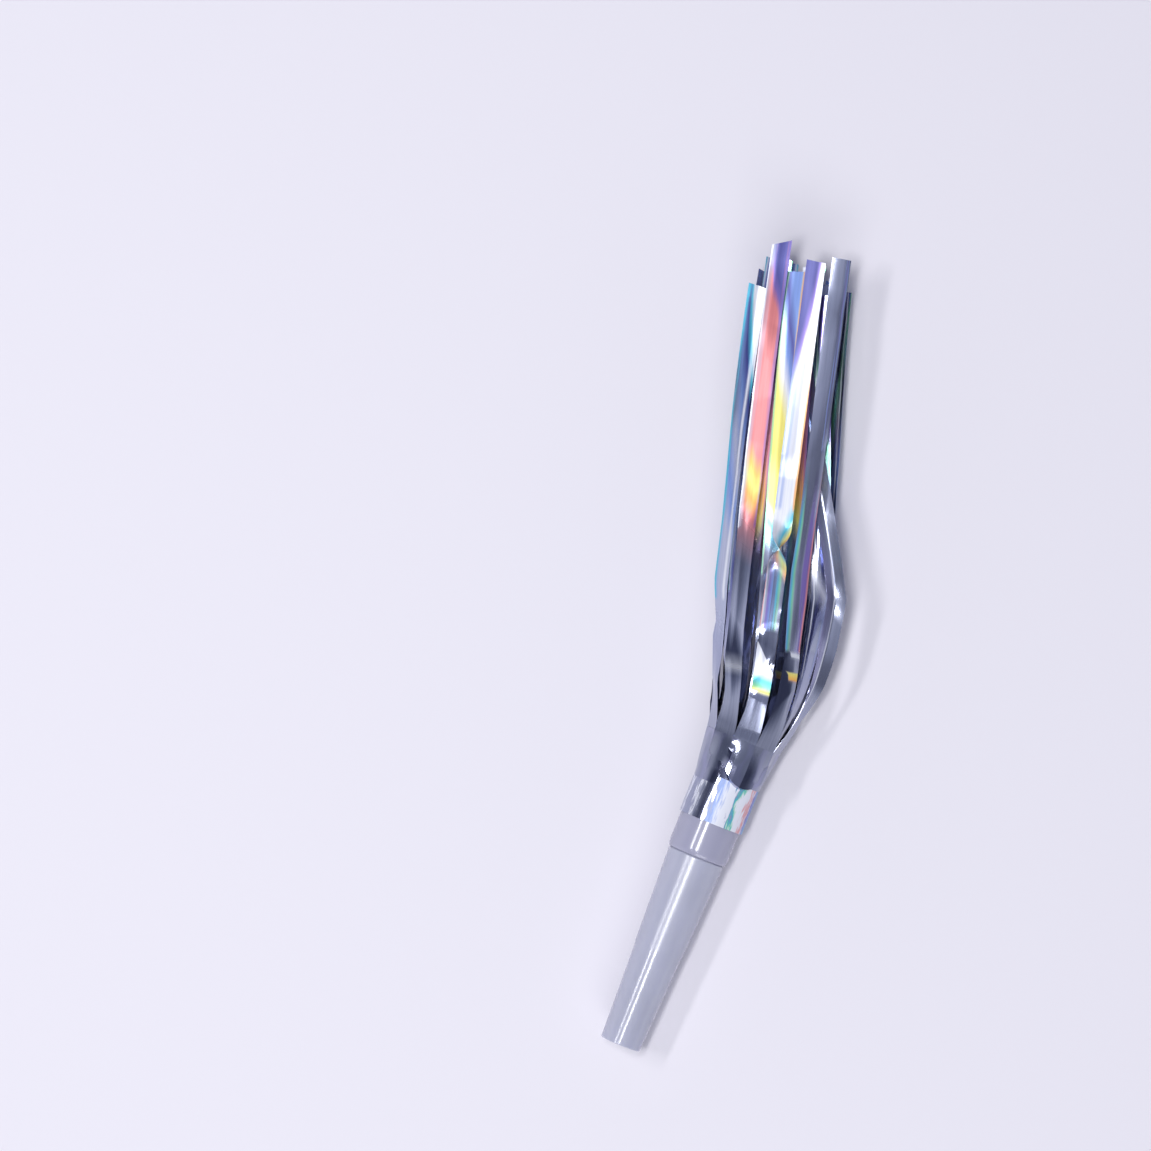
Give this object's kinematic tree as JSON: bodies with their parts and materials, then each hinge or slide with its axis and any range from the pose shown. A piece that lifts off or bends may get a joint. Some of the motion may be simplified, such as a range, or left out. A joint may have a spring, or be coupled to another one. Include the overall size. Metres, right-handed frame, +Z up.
{
  "type": "foil fringe party horn",
  "caption": "Party blow-out horn: a tapered plastic mouthpiece with a reed inside, plugged into a barrel that carries a wound, slit foil fringe.",
  "frame": {"origin": "centre of the mouth opening, on the tube's axis", "axes": "+Y along the tube from the mouth to the fringe, +Z up as the horn lies on its side, +X to the right seen from above with the fringe ahead"},
  "size_m": [0.038, 0.1379, 0.0144],
  "materials": {
    "tube_plastic": "gloss",
    "reed_plastic": "satin",
    "reed_film": "gloss",
    "adhesive_tape": "matte",
    "foil": "polished"
  },
  "bodies": {
    "horn": {"mouthpiece": "tube_plastic", "barrel": "tube_plastic", "reed_holder": "reed_plastic", "reed_wedge": "reed_plastic", "adhesive_tape": "adhesive_tape", "foil_band": "foil", "outer_skirt": "foil", "inner_skirt": "foil"},
    "reed": {"reed_tongue": "reed_film"},
    "outer_strip_01": {"outer_strip_01": "foil"},
    "outer_strip_02": {"outer_strip_02": "foil"},
    "outer_strip_03": {"outer_strip_03": "foil"},
    "outer_strip_04": {"outer_strip_04": "foil"},
    "outer_strip_05": {"outer_strip_05": "foil"},
    "outer_strip_06": {"outer_strip_06": "foil"},
    "outer_strip_07": {"outer_strip_07": "foil"},
    "outer_strip_08": {"outer_strip_08": "foil"},
    "outer_strip_09": {"outer_strip_09": "foil"},
    "outer_strip_10": {"outer_strip_10": "foil"},
    "inner_strip_01": {"inner_strip_01": "foil"},
    "inner_strip_02": {"inner_strip_02": "foil"},
    "inner_strip_03": {"inner_strip_03": "foil"},
    "inner_strip_04": {"inner_strip_04": "foil"},
    "inner_strip_05": {"inner_strip_05": "foil"},
    "inner_strip_06": {"inner_strip_06": "foil"},
    "inner_strip_07": {"inner_strip_07": "foil"},
    "inner_strip_08": {"inner_strip_08": "foil"},
    "inner_strip_09": {"inner_strip_09": "foil"},
    "inner_strip_10": {"inner_strip_10": "foil"}
  },
  "joints": [
    {"name": "reed_flex", "type": "hinge", "parent": "horn", "child": "reed", "pos_m": [0, 0.0355, 0.00017], "axis": [1, 0, 0], "range_deg": [-2.4, 3.2], "stiffness_Nm_per_rad": 0.00002},
    {"name": "outer_strip_01_bend", "type": "hinge", "parent": "horn", "child": "outer_strip_01", "pos_m": [-0.00373, 0.0559, 0.00513], "axis": [0.809, 0, 0.5878], "range_deg": [0, 32], "stiffness_Nm_per_rad": 0.0005},
    {"name": "outer_strip_02_bend", "type": "hinge", "parent": "horn", "child": "outer_strip_02", "pos_m": [-0.00603, 0.0559, 0.00196], "axis": [0.309, 0, 0.9511], "range_deg": [0, 32], "stiffness_Nm_per_rad": 0.0005},
    {"name": "outer_strip_03_bend", "type": "hinge", "parent": "horn", "child": "outer_strip_03", "pos_m": [-0.00603, 0.0559, -0.00196], "axis": [-0.309, 0, 0.9511], "range_deg": [0, 32], "stiffness_Nm_per_rad": 0.0005},
    {"name": "outer_strip_04_bend", "type": "hinge", "parent": "horn", "child": "outer_strip_04", "pos_m": [-0.00373, 0.0559, -0.00513], "axis": [-0.809, 0, 0.5878], "range_deg": [0, 32], "stiffness_Nm_per_rad": 0.0005},
    {"name": "outer_strip_05_bend", "type": "hinge", "parent": "horn", "child": "outer_strip_05", "pos_m": [0, 0.0559, -0.00634], "axis": [-1, 0, 0], "range_deg": [0, 32], "stiffness_Nm_per_rad": 0.0005},
    {"name": "outer_strip_06_bend", "type": "hinge", "parent": "horn", "child": "outer_strip_06", "pos_m": [0.00373, 0.0559, -0.00513], "axis": [-0.809, 0, -0.5878], "range_deg": [0, 32], "stiffness_Nm_per_rad": 0.0005},
    {"name": "outer_strip_07_bend", "type": "hinge", "parent": "horn", "child": "outer_strip_07", "pos_m": [0.00603, 0.0559, -0.00196], "axis": [-0.309, 0, -0.9511], "range_deg": [0, 32], "stiffness_Nm_per_rad": 0.0005},
    {"name": "outer_strip_08_bend", "type": "hinge", "parent": "horn", "child": "outer_strip_08", "pos_m": [0.00603, 0.0559, 0.00196], "axis": [0.309, 0, -0.9511], "range_deg": [0, 32], "stiffness_Nm_per_rad": 0.0005},
    {"name": "outer_strip_09_bend", "type": "hinge", "parent": "horn", "child": "outer_strip_09", "pos_m": [0.00373, 0.0559, 0.00513], "axis": [0.809, 0, -0.5878], "range_deg": [0, 32], "stiffness_Nm_per_rad": 0.0005},
    {"name": "outer_strip_10_bend", "type": "hinge", "parent": "horn", "child": "outer_strip_10", "pos_m": [0, 0.0559, 0.00634], "axis": [1, 0, 0], "range_deg": [0, 32], "stiffness_Nm_per_rad": 0.0005},
    {"name": "inner_strip_01_bend", "type": "hinge", "parent": "horn", "child": "inner_strip_01", "pos_m": [-0.00332, 0.0559, 0.00456], "axis": [0.809, 0, 0.5878], "range_deg": [0, 19.5], "stiffness_Nm_per_rad": 0.0005},
    {"name": "inner_strip_02_bend", "type": "hinge", "parent": "horn", "child": "inner_strip_02", "pos_m": [-0.00536, 0.0559, 0.00174], "axis": [0.309, 0, 0.9511], "range_deg": [0, 19.5], "stiffness_Nm_per_rad": 0.0005},
    {"name": "inner_strip_03_bend", "type": "hinge", "parent": "horn", "child": "inner_strip_03", "pos_m": [-0.00536, 0.0559, -0.00174], "axis": [-0.309, 0, 0.9511], "range_deg": [0, 19.5], "stiffness_Nm_per_rad": 0.0005},
    {"name": "inner_strip_04_bend", "type": "hinge", "parent": "horn", "child": "inner_strip_04", "pos_m": [-0.00332, 0.0559, -0.00456], "axis": [-0.809, 0, 0.5878], "range_deg": [0, 19.5], "stiffness_Nm_per_rad": 0.0005},
    {"name": "inner_strip_05_bend", "type": "hinge", "parent": "horn", "child": "inner_strip_05", "pos_m": [0, 0.0559, -0.00564], "axis": [-1, 0, 0], "range_deg": [0, 19.5], "stiffness_Nm_per_rad": 0.0005},
    {"name": "inner_strip_06_bend", "type": "hinge", "parent": "horn", "child": "inner_strip_06", "pos_m": [0.00332, 0.0559, -0.00456], "axis": [-0.809, 0, -0.5878], "range_deg": [0, 19.5], "stiffness_Nm_per_rad": 0.0005},
    {"name": "inner_strip_07_bend", "type": "hinge", "parent": "horn", "child": "inner_strip_07", "pos_m": [0.00536, 0.0559, -0.00174], "axis": [-0.309, 0, -0.9511], "range_deg": [0, 19.5], "stiffness_Nm_per_rad": 0.0005},
    {"name": "inner_strip_08_bend", "type": "hinge", "parent": "horn", "child": "inner_strip_08", "pos_m": [0.00536, 0.0559, 0.00174], "axis": [0.309, 0, -0.9511], "range_deg": [0, 19.5], "stiffness_Nm_per_rad": 0.0005},
    {"name": "inner_strip_09_bend", "type": "hinge", "parent": "horn", "child": "inner_strip_09", "pos_m": [0.00332, 0.0559, 0.00456], "axis": [0.809, 0, -0.5878], "range_deg": [0, 19.5], "stiffness_Nm_per_rad": 0.0005},
    {"name": "inner_strip_10_bend", "type": "hinge", "parent": "horn", "child": "inner_strip_10", "pos_m": [0, 0.0559, 0.00564], "axis": [1, 0, 0], "range_deg": [0, 19.5], "stiffness_Nm_per_rad": 0.0005}
  ],
  "couplings": [
    {"joint": "inner_strip_01_bend", "follows": "outer_strip_01_bend", "ratio": 0.6},
    {"joint": "inner_strip_02_bend", "follows": "outer_strip_02_bend", "ratio": 0.6},
    {"joint": "inner_strip_03_bend", "follows": "outer_strip_03_bend", "ratio": 0.6},
    {"joint": "inner_strip_04_bend", "follows": "outer_strip_04_bend", "ratio": 0.6},
    {"joint": "inner_strip_05_bend", "follows": "outer_strip_05_bend", "ratio": 0.6},
    {"joint": "inner_strip_06_bend", "follows": "outer_strip_06_bend", "ratio": 0.6},
    {"joint": "inner_strip_07_bend", "follows": "outer_strip_07_bend", "ratio": 0.6},
    {"joint": "inner_strip_08_bend", "follows": "outer_strip_08_bend", "ratio": 0.6},
    {"joint": "inner_strip_09_bend", "follows": "outer_strip_09_bend", "ratio": 0.6},
    {"joint": "inner_strip_10_bend", "follows": "outer_strip_10_bend", "ratio": 0.6}
  ]
}
